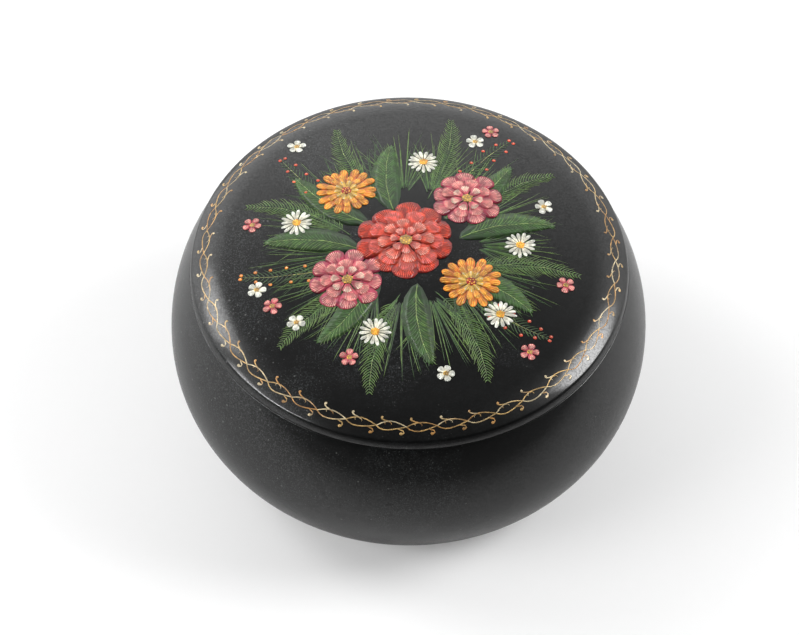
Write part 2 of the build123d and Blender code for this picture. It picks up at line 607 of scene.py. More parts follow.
@dataclass(frozen=True)
class BlackLacquer:
    """Black lacquer, rubbed down and varnished, with dust under the gloss, one worn edge and a
    painted speckled sheen in its colour.
    """

    name: str
    worn_edge: Plan
    wear_reach: float
    dust_share: float = 1.0
    # Dust and painted sheen thicken towards this side, the left, where the lamps' sheen falls on
    # the lacquer
    dust_and_sheen_side: RGB = (-3.0, -0.6, 0.0)
    black: RGB = (0.0026, 0.0028, 0.0028)
    # Grey of the dust haze and of the painted sheen laid into the colour
    haze_and_sheen: RGB = (0.022, 0.0245, 0.0255)
    dust: RGB = (0.11, 0.113, 0.108)
    bared: RGB = (0.030, 0.023, 0.019)
    nib_tone: float = 0.4
    mote_tone: float = 0.7
    least_haze_and_sheen: float = 0.1
    sheen_mottle: Span = (0.3, 0.6)
    sheen_specks: Span = (0.46, 0.66)
    gloss: float = 0.36
    mottle_blur: float = 0.12
    haze_blur: float = 0.05
    dust_blur: float = 0.25
    under_coat: float = 0.2
    coat: float = 0.68
    coat_blur: float = 0.10
    coat_specks: Span = (0.36, 0.62)
    coat_shares: Span = (0.5, 1.2)
    wave_depth: float = 0.010 * MM
    grain_depth: float = 0.0045 * MM
    pit_depth: float = 0.011 * MM
    nib_height: float = 0.012 * MM

    def material(self, effects: Effects) -> bpy.types.Material:
        """Builds the finish.

        Args:
            effects: The shared effects.

        Returns:
            The material.
        """
        material, sheet = new_material(self.name)
        at = sheet.object_coordinates()
        edge = {"Edge Radius": self.worn_edge[0], "Edge Height": self.worn_edge[1]}
        wear = sheet.group(effects.rub, {"Vector": at, "Reach": self.wear_reach, **edge})["Wear"]
        settled = {"Vector": at, "Towards": self.dust_and_sheen_side, "Share": self.dust_share}
        dust = sheet.group(effects.dust, settled)
        polish = sheet.group(effects.polish, {"Vector": at})
        haze_and_sheen, mottle, speckle = dust["Haze And Sheen"], polish["Mottle"], polish["Speckle"]
        nibs, motes = dust["Nibs"] * self.nib_tone, dust["Motes"] * self.mote_tone
        dots = sheet.maths("MAXIMUM", nibs, motes)
        # Patch mask with a floor: it places the painted sheen and the pits
        rubbed = haze_and_sheen * (1 - self.least_haze_and_sheen) + self.least_haze_and_sheen

        # Painted sheen: speckled grey in the base colour stands in for the lamps' sheen on the
        # lacquer, thickest on the left
        painted_sheen = rubbed * mottle.ramp(*self.sheen_mottle) * speckle.ramp(*self.sheen_specks)
        colour = sheet.mix(painted_sheen, self.black, self.haze_and_sheen)
        colour = sheet.mix(dots, colour, self.dust)
        colour = sheet.mix(wear, colour, self.bared)
        rough = (mottle - 0.5) * self.mottle_blur + self.gloss + haze_and_sheen * self.haze_blur
        rough = rough + (dots + wear) * self.dust_blur
        bare = 1.0 - sheet.maths("MAXIMUM", wear, dots)
        coat = bare * speckle.ramp(*self.coat_specks, self.coat_shares) * self.coat
        normal = sheet.bump(polish["Waves"], self.wave_depth)
        normal = sheet.bump(mottle * haze_and_sheen, self.grain_depth, normal)
        normal = sheet.bump(speckle * rubbed, self.pit_depth, normal)
        normal = sheet.bump(dots, self.nib_height, normal)
        values = {
            "Base Color": colour,
            "Roughness": rough.clamped(),
            "Normal": normal,
            "Specular IOR Level": self.under_coat,
            "Coat Weight": coat,
            "Coat Roughness": self.coat_blur,
        }
        sheet.add("OutputMaterial", {0: sheet.read("BsdfPrincipled", 0, values)})
        return material


@dataclass(frozen=True)
class RedLacquer:
    """Red lacquer of the inside: brushed on while the box turned, with a softer gloss."""

    name: str
    deep: RGB = (0.26, 0.012, 0.008)
    bright: RGB = (0.42, 0.026, 0.014)
    bright_tones: Span = (0.36, 0.64)
    dust_share: float = 0.3
    gloss: float = 0.24
    dust_blur: float = 0.25
    tone_blur: float = 0.3
    ring_depth: float = 0.012 * MM

    def material(self, effects: Effects) -> bpy.types.Material:
        """Builds the finish.

        Args:
            effects: The shared effects.

        Returns:
            The material.
        """
        material, sheet = new_material(self.name)
        at = sheet.object_coordinates()
        rings = sheet.group(effects.turning, {"Vector": at})["Rings"]
        mottle = sheet.group(effects.polish, {"Vector": at})["Mottle"]
        nibs = sheet.group(effects.dust, {"Vector": at, "Share": self.dust_share})["Nibs"]
        tone = (rings + mottle) * 0.5
        rough = nibs * self.dust_blur + self.gloss + (tone - 0.5) * self.tone_blur
        values = {
            "Base Color": sheet.mix(tone.ramp(*self.bright_tones), self.deep, self.bright),
            "Roughness": rough.clamped(),
            "Normal": sheet.bump(rings, self.ring_depth),
        }
        sheet.add("OutputMaterial", {0: sheet.read("BsdfPrincipled", 0, values)})
        return material


@dataclass(frozen=True)
class BrushPaint:
    """Opaque paint laid on in strokes: its colour lies on the mesh, its metal share is set here."""

    name: str
    metal: float = 0.0
    gloss: float = 0.34
    varnish: float = 0.2
    varnish_blur: float = 0.12
    thin_loads: Span = (0.62, 0.40)
    thin_share: float = 0.45
    thin_colour: RGB = (0.02, 0.018, 0.016)
    grain_blur: float = 0.3
    grain_depth: float = 0.012 * MM
    grain_strength: float = 0.7

    def material(self, effects: Effects) -> bpy.types.Material:
        """Builds the finish.

        Args:
            effects: The shared effects.

        Returns:
            The material.
        """
        material, sheet = new_material(self.name)
        brushed = sheet.group(effects.bristle, {"Vector": sheet.object_coordinates()})
        load, grain = brushed["Load"], brushed["Grain"]
        laid = sheet.read("Attribute", "Color", attribute_name=Brush.colour_layer)
        thin = load.ramp(*self.thin_loads) * self.thin_share
        values = {
            "Base Color": sheet.mix(thin, laid, self.thin_colour),
            "Roughness": (grain - 0.5) * self.grain_blur + self.gloss,
            "Normal": sheet.bump(grain, self.grain_depth, strength=self.grain_strength),
            "Metallic": self.metal,
            "Coat Weight": self.varnish,
            "Coat Roughness": self.varnish_blur,
        }
        sheet.add("OutputMaterial", {0: sheet.read("BsdfPrincipled", 0, values)})
        return material


class Hue(Enum):
    """The painter's colours."""

    SCARLET = (0.78, 0.075, 0.026)
    DEEP_RED = (0.34, 0.020, 0.014)
    CRIMSON = (0.40, 0.035, 0.075)
    ROSE = (0.70, 0.16, 0.16)
    PINK = (0.84, 0.42, 0.34)
    CREAM = (0.82, 0.76, 0.56)
    WHITE = (0.84, 0.86, 0.78)
    OCHRE = (0.40, 0.24, 0.075)
    ORANGE = (0.85, 0.26, 0.025)
    YELLOW = (0.88, 0.52, 0.06)
    LEAF = (0.050, 0.120, 0.026)
    LIGHT_LEAF = (0.16, 0.26, 0.058)
    PALE_LEAF = (0.42, 0.52, 0.20)
    DARK_LEAF = (0.014, 0.038, 0.012)
    GOLD = (0.60, 0.39, 0.15)
    COPPER = (0.50, 0.26, 0.08)
    PALE_GOLD = (0.70, 0.58, 0.36)


HuePair = tuple[Hue, Hue]


class Tip(Enum):
    """The ways of pressing the brush: how wide it is at places along the stroke, and its sides."""

    LINE = (
        ((0.01, 0.7), (0.04, 1.0), (0.18, 0.95), (0.34, 1.0), (0.5, 0.95))
        + ((0.66, 1.0), (0.82, 0.95), (0.96, 1.0), (0.99, 0.7)),
        5,
    )
    HOOK = (
        ((0.03, 0.7), (0.10, 1.0), (0.20, 0.92), (0.32, 0.58))
        + ((0.5, 0.44), (0.75, 0.42), (0.97, 0.38)),
        6,
    )
    HAIR = ((0.04, 0.8), (0.15, 1.0), (0.4, 0.85), (0.7, 0.55), (0.9, 0.28)), 4
    PETAL = ((0.06, 0.3), (0.28, 0.62), (0.52, 0.92), (0.74, 1.0), (0.90, 0.78), (0.975, 0.42)), 6
    LEAF = ((0.05, 0.35), (0.18, 0.75), (0.38, 1.0), (0.6, 0.93), (0.8, 0.62), (0.94, 0.26)), 6
    DOT = ((0.12, 0.68), (0.5, 1.0), (0.88, 0.68)), 8

    def stamp(self) -> bpy.types.Mesh:
        """Turns the outline about X.

        Returns:
            A closed unit stroke, from x 0 to x 1.
        """
        presses, sides = self.value
        bm = bmesh.new()
        tip = bmesh.ops.create_vert(bm, co=(0, 0, 0))["vert"][0]
        for along, width in (*presses, (1.0, 0.0)):
            tip = bmesh.ops.extrude_vert_indiv(bm, verts=[tip])["verts"][0]
            tip.co = (along, width, 0)
        full_turn(bm, (1, 0, 0), sides, STAMP_WELD)
        mesh = bpy.data.meshes.new("stamp")
        bm.to_mesh(mesh)
        bm.free()
        return mesh


class Brush:
    """Lays flattened strokes on the dome, into one mesh that carries their colours."""

    colour_layer = "laid_paint"
    overlap = 0.35
    tint = 0.12

    def __init__(self, shape: BoxShape, thickness: float, seed: int) -> None:
        """Takes up the brush.

        Args:
            shape: The lid's shape.
            thickness: The paint's full thickness, in metres.
            seed: What the hand's unevenness starts from.
        """
        self.shape = shape
        self.thickness = thickness
        self.hand = random.Random(seed)
        self.bm = bmesh.new()
        self.colours = self.bm.verts.layers.float_color.new(self.colour_layer)
        self.stamps: dict[Tip, bpy.types.Mesh] = {}

    def stroke(
        self,
        tip: Tip,
        bends: Sequence[Plan],
        width: float,
        colours: HuePair,
        layer: int = 0,
        place: Callable[[Vector], Plan] | None = None,
    ) -> None:
        """Lays one stroke.

        Args:
            tip: How the brush is pressed along it.
            bends: Two to four points in plan that guide it, as a Bezier curve.
            width: Its full width at the widest.
            colours: Its colour at the start and at the end.
            layer: How many strokes lie under it.
            place: Turns a drawn point into one of the lid's plan, where the drawing isn't that.
        """
        if tip not in self.stamps:
            self.stamps[tip] = tip.stamp()
        before = len(self.bm.verts)
        self.bm.from_mesh(self.stamps[tip])
        self.bm.verts.ensure_lookup_table()
        points = [Vector(b) for b in bends]
        start, end = (Vector(hue.value) for hue in colours)
        lift = layer * self.thickness * self.overlap
        tint = 1 + self.hand.uniform(-self.tint, self.tint)
        for vert in self.bm.verts[before:]:
            along, across, up = vert.co
            middle, heading = bezier(points, along)
            drawn = middle + Vector((-heading.y, heading.x)) * across * width / 2
            x, y = place(drawn) if place else drawn
            vert.co = self.shape.on_lid(x * MM, y * MM, lift + up * self.thickness / 2)
            vert[self.colours] = (*start.lerp(end, along) * tint, 1.0)

    def finish(self, name: str, material: bpy.types.Material, slot: str) -> bpy.types.Object:
        """Makes the strokes a piece that rides on the lid.

        Args:
            name: The piece's name.
            material: Its finish.
            slot: The record's material slot, which is not used.

        Returns:
            The piece.
        """
        for face in self.bm.faces:
            face.smooth = True
        piece = make_piece(name, self.bm)
        piece.data.materials.append(material)
        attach(piece, "lid")
        for mesh in self.stamps.values():
            bpy.data.meshes.remove(mesh)
        return piece


def bezier(points: Sequence[Vector], share: float) -> tuple[Vector, Vector]:
    """Finds a point of a Bezier curve by splitting its legs.

    Args:
        points: The curve's guide.
        share: How far along it, 0 to 1.

    Returns:
        The point and the curve's heading there.
    """
    level = list(points)
    while len(level) > 2:
        level = [a.lerp(b, share) for a, b in zip(level, level[1:])]
    heading = (level[1] - level[0]).normalized()
    return level[0].lerp(level[1], share), heading


def polar(centre: Plan, distance: float, angle: float) -> Plan:
    """Finds the point at a distance and an angle from a centre."""
    return (centre[0] + distance * math.cos(angle), centre[1] + distance * math.sin(angle))


def bowed(start: Plan, end: Plan, bow: float) -> tuple[Plan, Plan, Plan]:
    """Draws a guide that bows to the left.

    Args:
        start: Where it starts.
        end: Where it ends.
        bow: How far it bows, as a share of its length.

    Returns:
        Its three points.
    """
    run = Vector(end) - Vector(start)
    middle = (Vector(start) + Vector(end)) / 2 + Vector((-run.y, run.x)) * bow
    return (start, tuple(middle), end)


@dataclass
class ScrollBorder:
    """The gold border: two crossing strands, with hooks and curls in each cell.

    All its plan sizes are in millimetres.
    """

    shape: BoxShape
    repeats: int = 44
    ring: float = 50.7
    strand: float = 0.27
    curl: float = 0.19
    blob: float = 0.62
    thickness: float = 0.05 * MM
    waver: float = 0.2
    waver_pace: float = 9.0
    other_waver: RGB = (0, 0, 7)
    unevenness: Span = (0.03, 0.15)
    golds: tuple[Hue, ...] = (Hue.GOLD, Hue.COPPER, Hue.PALE_GOLD)

    def place(self, drawn: Vector) -> Plan:
        """Bends a point of the straight drawing round the lid, with the hand's waver.

        Args:
            drawn: How far along, and how far inwards of the ring.

        Returns:
            The point of the lid's plan.
        """
        angle = drawn.x / self.ring - math.pi
        spot = Vector((math.cos(angle), math.sin(angle), 0)) * self.waver_pace
        radius = self.ring - drawn.y + noise.noise(spot) * self.waver
        angle += noise.noise(spot + Vector(self.other_waver)) * self.waver / self.ring
        return polar((0, 0), radius, angle)

    def cell(self, brush: Brush, start: float, pitch: float) -> None:
        """Draws one cell of the border.

        Args:
            brush: The brush that lays it.
            start: Where it starts along the ring.
            pitch: Its length.
        """
        lean, tall = (brush.hand.uniform(-most, most) for most in self.unevenness)

        def lay(tip: Tip, width: float, *bends: Plan) -> None:
            """Lays a stroke in two golds.

            Args:
                tip: How the brush is pressed along it.
                width: Its full width at the widest.
                bends: Its guide, each point as a share of the cell and a distance inwards.
            """
            guide = [(start + share * pitch, inward) for share, inward in bends]
            colours = (brush.hand.choice(self.golds), brush.hand.choice(self.golds))
            brush.stroke(tip, guide, width, colours, 0, self.place)

        inner_hook = ((0.20 + lean, 1.95 + tall), (0.06 + lean, 1.95 + tall), (0.16, 1.2))
        outer_hook = ((0.77 + lean, -1.42 - tall), (0.88 + lean, -1.85 - tall))
        lay(Tip.LINE, self.strand, (-0.03, -0.12), (0.33 + lean, 1.5), (0.60, 1.4), (1.03, -0.12))
        lay(Tip.LINE, self.strand, (-0.03, 0.12), (0.22, -1.45), (0.5 + lean, -0.85), (1.03, 0.1))
        lay(Tip.HOOK, self.blob, *inner_hook, (0.42, 1.02))
        lay(Tip.HOOK, self.blob, *outer_hook, (1.04 + lean, -0.75), (0.72, -0.52))
        lay(Tip.HAIR, self.curl, (0.32, 0.98), (0.26, 0.72), (0.25 + lean, 0.5), (0.30 + lean, 0.3))
        inner_curl = ((0.34, 0.98), (0.47, 0.95), (0.55 + lean, 0.55), (0.48 + lean, 0.2))
        lay(Tip.HAIR, self.curl, *inner_curl)

    def build(self, effects: Effects) -> bpy.types.Object:
        """Draws the whole border in gold paint.

        Args:
            effects: The shared effects.

        Returns:
            The border.
        """
        brush = Brush(self.shape, self.thickness, seed=44)
        pitch = math.tau * self.ring / self.repeats
        for number in range(self.repeats):
            self.cell(brush, number * pitch, pitch)
        paint = BrushPaint("gold_paint", metal=0.2, gloss=0.36, varnish=0.15)
        return brush.finish("gold_scroll_border", paint.material(effects), "gold_line")


@dataclass(frozen=True)
class PetalRing:
    """One ring of a flower's petals, in millimetres, with their ground and their light strokes."""

    count: int
    inner: float
    outer: float
    width: float
    ground: HuePair
    light: HuePair
    hairs: int

    # How unevenly petals turn, bend and reach, and where along them the light hairs start
    turns = 0.05
    bends = 0.08
    reaches = (0.93, 1.06)
    roots = (0.25, 0.45)
    hair_width = 0.34
    # How far across a petal its hairs fan out, how they draw in at their roots, and the tips' round
    fan, root_fan, tip_reach, tip_round = 0.95, 0.5, 0.985, 0.45

    def paint(self, brush: Brush, centre: Plan, turn: float, layer: int) -> None:
        """Lays each petal's ground, and on it the light hairs that run in from its tip.

        Args:
            brush: The brush that lays them.
            centre: The flower's middle.
            turn: Angle of the first petal.
            layer: How many strokes lie under the ring.
        """
        vary = brush.hand.uniform
        for petal in range(self.count):
            angle = turn + petal * math.tau / self.count + vary(-self.turns, self.turns)
            reach = self.outer * vary(*self.reaches)
            bend = angle + vary(-self.bends, self.bends)
            middle = polar(centre, (self.inner + reach) / 2, bend)
            path = (polar(centre, self.inner, angle), middle, polar(centre, reach, angle))
            under = layer + petal % 2
            brush.stroke(Tip.PETAL, path, self.width, self.ground, under)
            for hair in range(self.hairs):
                off = (hair - (self.hairs - 1) / 2) / self.hairs
                spread = off * self.width * self.fan / reach
                out = reach * (self.tip_reach - self.tip_round * off**2)
                tip = polar(centre, out, angle + spread)
                start = self.inner + (reach - self.inner) * vary(*self.roots)
                root = polar(centre, start, angle + spread * self.root_fan)
                brush.stroke(Tip.HAIR, (tip, root), self.hair_width, self.light, under + 1)


@dataclass(frozen=True)
class Flower:
    """A round flower head, painted ring by ring from its rim to its eye, in millimetres."""

    centre: Plan
    rings: tuple[PetalRing, ...]
    eye_radius: float
    eye: HuePair
    turn: float
    layer: int

    next_turn = 0.3
    seeds = 11
    seed_width = 0.4
    seed_rings = (0.45, 0.85)

    def paint(self, brush: Brush) -> None:
        """Lays the petals, and then the eye and its seeds.

        Args:
            brush: The brush that lays them.
        """
        layer = self.layer
        for number, ring in enumerate(self.rings):
            ring.paint(brush, self.centre, self.turn + number * self.next_turn, layer)
            layer += 2
        size, (ground, seed) = self.eye_radius, self.eye
        ends = (polar(self.centre, size, math.pi), polar(self.centre, size, 0))
        brush.stroke(Tip.DOT, ends, 2 * size, (ground, ground), layer)
        for number in range(self.seeds):
            out = size * self.seed_rings[number % 2]
            spot = polar(self.centre, out, number * math.tau / self.seeds)
            ends = (spot, (spot[0] + self.seed_width, spot[1]))
            brush.stroke(Tip.DOT, ends, self.seed_width, (seed, seed), layer + 1)


@dataclass(frozen=True)
class Leaf:
    """A broad leaf, in millimetres: a dark ground, fine strokes to its edges, and the midrib."""

    base: Plan
    tip: Plan
    bow: float
    width: float = 7.5
    veins: int = 22
    vein_width: float = 0.32
    midrib_width: float = 0.30

    # Where the veins start and how far they run, how they lean and reach, and where they bend
    first_vein, vein_run = 0.08, 0.84
    fullness = 0.8
    leans = (0.34, 0.46)
    reaches = (0.88, 1.04)
    bend_out, bend_on = 0.4, 0.75

    def paint(self, brush: Brush) -> None:
        """Lays the ground, the side strokes and the midrib.

        Args:
            brush: The brush that lays them.
        """
        guide = bowed(self.base, self.tip, self.bow)
        spine = [Vector(p) for p in guide]
        brush.stroke(Tip.LEAF, guide, self.width, (Hue.DARK_LEAF, Hue.LEAF), 2)
        for step in range(1, self.veins):
            share = self.first_vein + self.vein_run * step / self.veins
            spot, heading = bezier(spine, share)
            half = self.width / 2 * math.sin(math.pi * share**self.fullness)
            for side, light in ((-1, Hue.LEAF), (1, Hue.LIGHT_LEAF)):
                sideways = Vector((-heading.y, heading.x)) * side
                lean = heading * self.width * brush.hand.uniform(*self.leans)
                end = spot + sideways * half * brush.hand.uniform(*self.reaches) + lean
                bend = spot + sideways * half * self.bend_out + lean * self.bend_on
                brush.stroke(Tip.HAIR, (spot, bend, end), self.vein_width, (Hue.LEAF, light), 3)
        brush.stroke(Tip.HAIR, guide, self.midrib_width, (Hue.LIGHT_LEAF, Hue.PALE_LEAF), 4)


@dataclass(frozen=True)
class Spray:
    """A feathery spray, in millimetres: a bowed stem with leaflets that shorten to its tip."""

    base: Plan
    tip: Plan
    bow: float
    berry: Hue | None = None
    pairs: int = 34
    reach: float = 4.2
    stem: Hue = Hue.LEAF
    leaflet: HuePair = (Hue.LEAF, Hue.LIGHT_LEAF)

    # Where the leaflets start and how far they run, how long they are, and where they go
    first_pair, pair_run = 0.12, 0.88
    least_turn, turn_run = 0.14, 0.80
    lengths = (0.75, 1.12)
    end_way, bend_way = (0.85, 0.75), (0.25, 0.5)
    leaflet_width = 0.36
    stem_width = 0.30
    berry_width = 0.9
    berry_every = 4
    spark_width = 0.25
    spark_ends = ((0.35, 0.15), (0.6, 0.15))

    def paint(self, brush: Brush) -> None:
        """Lays the leaflets from the base to the tip, with the berries, and then the stem.

        Args:
            brush: The brush that lays them.
        """
        guide = bowed(self.base, self.tip, self.bow)
        spine = [Vector(p) for p in guide]
        for pair in range(self.pairs):
            share = self.first_pair + self.pair_run * pair / self.pairs
            spot, heading = bezier(spine, share)
            fullness = math.sin(math.pi * (self.least_turn + self.turn_run * share))
            for side in (-1, 1):
                sideways = Vector((-heading.y, heading.x)) * side
                length = self.reach * fullness * brush.hand.uniform(*self.lengths)
                bend, end = (
                    spot + (heading * on + sideways * out) * length
                    for on, out in (self.bend_way, self.end_way)
                )
                path = (spot, bend, end)
                brush.stroke(Tip.HAIR, path, self.leaflet_width, self.leaflet, pair % 2)
                if self.berry and pair % self.berry_every == 1:
                    berry = (end, end + Vector((self.berry_width, 0)))
                    brush.stroke(Tip.DOT, berry, self.berry_width, (self.berry, self.berry), 2)
                    spark = [end + Vector(off) for off in self.spark_ends]
                    brush.stroke(Tip.DOT, spark, self.spark_width, (Hue.CREAM, Hue.CREAM), 3)
        brush.stroke(Tip.HAIR, guide, self.stem_width, (self.stem, Hue.PALE_LEAF), 1)


@dataclass(frozen=True)
class Tuft:
    """Fine grass, in millimetres, that fans out from a place and droops to both sides."""

    base: Plan
    heading: float
    spread: float = 1.1
    reach: float = 24
    blades: int = 30
    blade_width: float = 0.34
    greens: tuple[HuePair, ...] = ((Hue.DARK_LEAF, Hue.LEAF), (Hue.LEAF, Hue.LIGHT_LEAF))

    # How blades turn and how long they are, how they shorten to the sides, and how they droop
    turns, lengths, shortening = 0.05, (0.7, 1.05), 0.9
    root, bend, rest = 0.15, 0.6, 0.42
    droop, droop_turns = 0.8, 0.15

    def paint(self, brush: Brush) -> None:
        """Lays the blades from one side of the fan to the other.

        Args:
            brush: The brush that lays them.
        """
        hand = brush.hand
        for number in range(self.blades):
            share = number / (self.blades - 1) - 0.5
            angle = self.heading + share * self.spread + hand.uniform(-self.turns, self.turns)
            full = self.reach * (1 - self.shortening * share**2)
            length = full * hand.uniform(*self.lengths)
            fall = share * self.droop + hand.uniform(-self.droop_turns, self.droop_turns)
            bend = polar(self.base, length * self.bend, angle)
            end = polar(bend, length * self.rest, angle + fall)
            green = hand.choice(self.greens)
            path = (polar(self.base, length * self.root, angle), bend, end)
            brush.stroke(Tip.HAIR, path, self.blade_width, green, number % 2)


@dataclass
class Bouquet:
    """The lid's painting: a loose round bouquet of flowers, leaves and grasses.

    Its places are in millimetres of the lid's plan.
    """

    shape: BoxShape
    thickness: float = 0.045 * MM
    tufts: int = 15
    tuft_ring: float = 15

    def greenery(self) -> list[Leaf | Spray | Tuft]:
        """Lists the grasses, sprays and leaves.

        Returns:
            The plants, those underneath first.
        """
        sprays = (
            (-6, 12, -19, 39, 0.18),
            (4, 14, 10, 43, -0.12),
            (-14, 2, -41, 13, -0.2),
            (14, 6, 36, 25, 0.22),
            (12, -8, 42, -7, 0.16),
            (-8, -12, -31, -30, -0.18),
            (6, -14, 19, -39, 0.2),
            (-2, -15, -9, -43, -0.14),
        )
        berried = (
            (8, 12, 25, 36, 0.1, Hue.SCARLET),
            (-12, 8, -33, 29, 0.12, Hue.SCARLET),
            (12, -12, 34, -26, -0.12, Hue.SCARLET),
            (-14, -6, -42, -9, 0.12, Hue.ORANGE),
        )
        leaves = (
            (-4, 10, -5, 33, 0.16),
            (8, 8, 25, 27, -0.14),
            (12, 2, 36, 8, 0.18),
            (10, -8, 30, -19, 0.14),
            (2, -12, 6, -35, -0.16),
            (-8, -8, -22, -29, 0.18),
            (-12, -2, -36, 1, -0.16),
            (-10, 6, -29, 22, 0.14),
        )
        turns = [number * math.tau / self.tufts for number in range(self.tufts)]
        dark = (Hue.DARK_LEAF, Hue.LEAF)
        return [
            *(Tuft(polar((0, 0), self.tuft_ring, turn), turn) for turn in turns),
            *(Spray((x, y), (to_x, to_y), bow) for x, y, to_x, to_y, bow in sprays),
            *(
                Spray((x, y), (to_x, to_y), bow, berry, 22, 3.2, Hue.OCHRE, dark)
                for x, y, to_x, to_y, bow, berry in berried
            ),
            *(Leaf((x, y), (to_x, to_y), bow) for x, y, to_x, to_y, bow in leaves),
        ]

    def flowers(self) -> list[Flower]:
        """Lists the flower heads.

        Returns:
            The heads, those underneath first.
        """
        red, scarlet, crimson, rose = Hue.DEEP_RED, Hue.SCARLET, Hue.CRIMSON, Hue.ROSE
        pink, cream, white, ochre = Hue.PINK, Hue.CREAM, Hue.WHITE, Hue.OCHRE
        orange, yellow = Hue.ORANGE, Hue.YELLOW
        white_blossom = (PetalRing(5, 0.2, 2.3, 1.7, (cream, white), (white, white), 3),)
        pink_blossom = (PetalRing(5, 0.2, 2.3, 1.7, (crimson, rose), (pink, pink), 3),)
        daisy = (PetalRing(15, 0.8, 3.9, 0.95, (cream, white), (white, cream), 1),)
        marigold = (
            PetalRing(16, 2.0, 7.4, 2.2, (red, orange), (yellow, orange), 3),
            PetalRing(13, 1.2, 5.2, 1.8, (ochre, orange), (yellow, orange), 3),
            PetalRing(10, 0.6, 3.2, 1.4, (ochre, yellow), (cream, yellow), 1),
        )
        peony = (
            PetalRing(9, 3.2, 8.8, 5.0, (crimson, crimson), (pink, crimson), 9),
            PetalRing(8, 2.2, 6.4, 3.8, (crimson, rose), (pink, rose), 7),
            PetalRing(7, 1.0, 4.2, 2.6, (crimson, rose), (cream, pink), 5),
        )
        garden_rose = (
            PetalRing(10, 4.5, 12.0, 6.4, (red, red), (scarlet, red), 11),
            PetalRing(9, 3.4, 9.4, 5.2, (red, scarlet), (rose, scarlet), 9),
            PetalRing(8, 2.2, 6.8, 4.0, (red, scarlet), (pink, scarlet), 7),
            PetalRing(7, 1.0, 4.2, 2.6, (red, scarlet), (pink, rose), 5),
        )
        white_spots = ((-37, -13), (-27, -23), (33, 14), (16, 35), (-29, 33), (9, -37))
        pink_spots = ((-33, -18), (-39, 7), (38, -10), (20, 39), (-14, -33), (29, -30))
        daisy_spots = ((-28, 7), (27, 1), (3, 27), (-8, -26), (22, -20))
        # Petals, the eye's radius and colours, the layer they start on, the places and the turns
        beds = (
            (white_blossom, 0.6, (yellow, ochre), 5, white_spots, range(6)),
            (pink_blossom, 0.6, (yellow, ochre), 5, pink_spots, range(6)),
            (daisy, 1.1, (yellow, orange), 6, daisy_spots, (0.2, 0.5, 0.1, 0.3, 0.3)),
            (marigold, 1.3, (red, yellow), 6, ((-16, 17), (15, -11)), (0.1, 0.4)),
            (peony, 1.4, (ochre, yellow), 6, ((14, 15), (-15, -11)), (0.2, 0.6)),
            (garden_rose, 1.6, (ochre, yellow), 6, ((-1, 1),), (0.3,)),
        )
        return [
            Flower(spot, petals, eye_radius, eye, turn, layer)
            for petals, eye_radius, eye, layer, spots, turns in beds
            for spot, turn in zip(spots, turns)
        ]

    def build(self, effects: Effects) -> list[bpy.types.Object]:
        """Paints the greenery and the flower heads as two pieces.

        Args:
            effects: The shared effects.

        Returns:
            The two pieces.
        """
        green = BrushPaint("leaf_paint", gloss=0.45, varnish=0.08)
        bright = BrushPaint("flower_paint")
        jobs = (
            (7, self.greenery(), "painted_leaves", green),
            (8, self.flowers(), "painted_flowers", bright),
        )
        pieces = []
        for seed, plants, name, paint in jobs:
            brush = Brush(self.shape, self.thickness, seed)
            for plant in plants:
                plant.paint(brush)
            pieces.append(brush.finish(name, paint.material(effects), paint.name))
        return pieces


@dataclass
class Turnery:
    """A sub-assembly of turned pieces that ride on one body, black outside and red inside."""

    shape: BoxShape
    body = ""

    def black(self) -> BlackLacquer:
        """Gives the outside finish, with the edge that is worn."""
        raise NotImplementedError

    def pieces(self) -> Iterator[tuple[bpy.types.Object, str, str]]:
        """Gives each turned piece with its CAD node and its slot in the record."""
        raise NotImplementedError

    def build(self, effects: Effects, red: bpy.types.Material) -> list[bpy.types.Object]:
        """Turns the pieces and gives them their finishes and their places in the frame.

        Args:
            effects: The shared effects.
            red: The inside finish.

        Returns:
            The pieces.
        """
        built = []
        black = self.black().material(effects)
        for piece, node, slot in self.pieces():
            for finish in (black, red):
                piece.data.materials.append(finish)
            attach(piece, self.body)
            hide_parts(node)
            built.append(piece)
        return built


